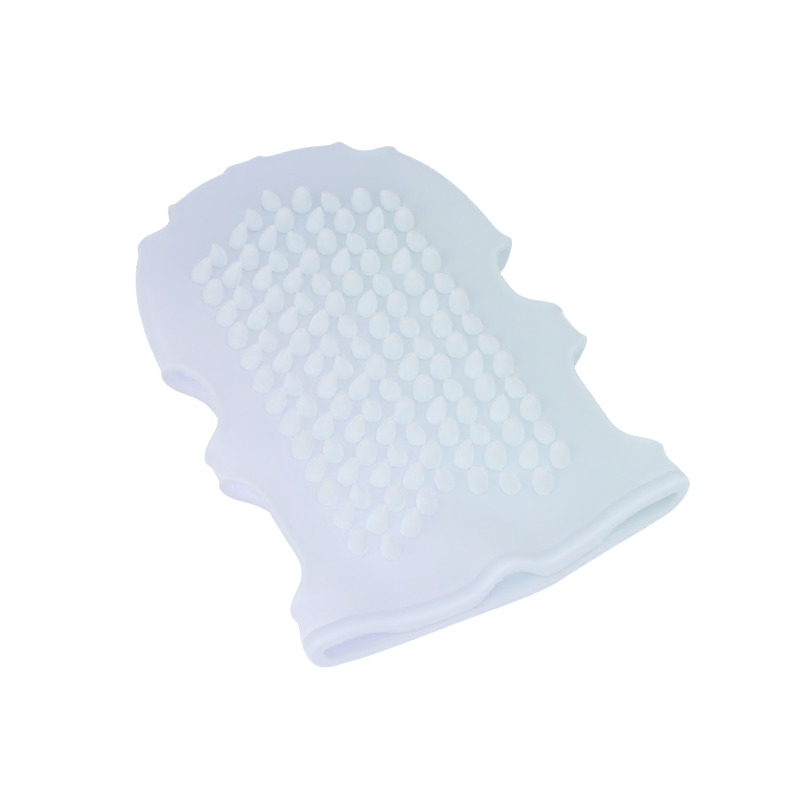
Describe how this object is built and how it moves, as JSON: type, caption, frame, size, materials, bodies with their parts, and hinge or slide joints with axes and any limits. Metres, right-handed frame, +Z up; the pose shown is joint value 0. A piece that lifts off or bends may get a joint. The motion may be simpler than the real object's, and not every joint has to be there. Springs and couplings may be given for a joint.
{
  "type": "pet finger toothbrush",
  "caption": "Soft flat silicone sleeve that fits over two fingers, open at one end, vented along its folds, with staggered columns of short bristles on its front.",
  "frame": {"origin": "on the table, under the middle of the whole object's box", "axes": "+X across the sleeve, +Y from the open mouth to the fingertip end, +Z up, out of the bristles"},
  "size_m": [0.0468, 0.0682, 0.01],
  "materials": {
    "silicone_sheet": "moulded translucent milky silicone, soft satin skin",
    "silicone_lip": "moulded translucent milky silicone, thick rounded lip",
    "silicone_bristle": "moulded translucent milky silicone, small blunt bristles"
  },
  "bodies": {
    "root": {"front_panel": "silicone_sheet", "back_panel": "silicone_sheet", "front_lip": "silicone_lip", "back_lip": "silicone_lip", "mouth_fold_left": "silicone_lip", "mouth_fold_right": "silicone_lip", "cuff_web_left": "silicone_sheet", "cuff_web_right": "silicone_sheet", "waist_web_left": "silicone_sheet", "waist_web_right": "silicone_sheet", "side_web_left": "silicone_sheet", "side_web_right": "silicone_sheet", "tip_web_left": "silicone_sheet", "tip_web_right": "silicone_sheet", "apex_web": "silicone_sheet", "bristle_column_1": "silicone_bristle", "bristle_column_2": "silicone_bristle", "bristle_column_3": "silicone_bristle", "bristle_column_4": "silicone_bristle", "bristle_column_5": "silicone_bristle", "bristle_column_6": "silicone_bristle", "bristle_column_7": "silicone_bristle", "bristle_column_8": "silicone_bristle", "bristle_column_9": "silicone_bristle"}
  },
  "joints": []
}
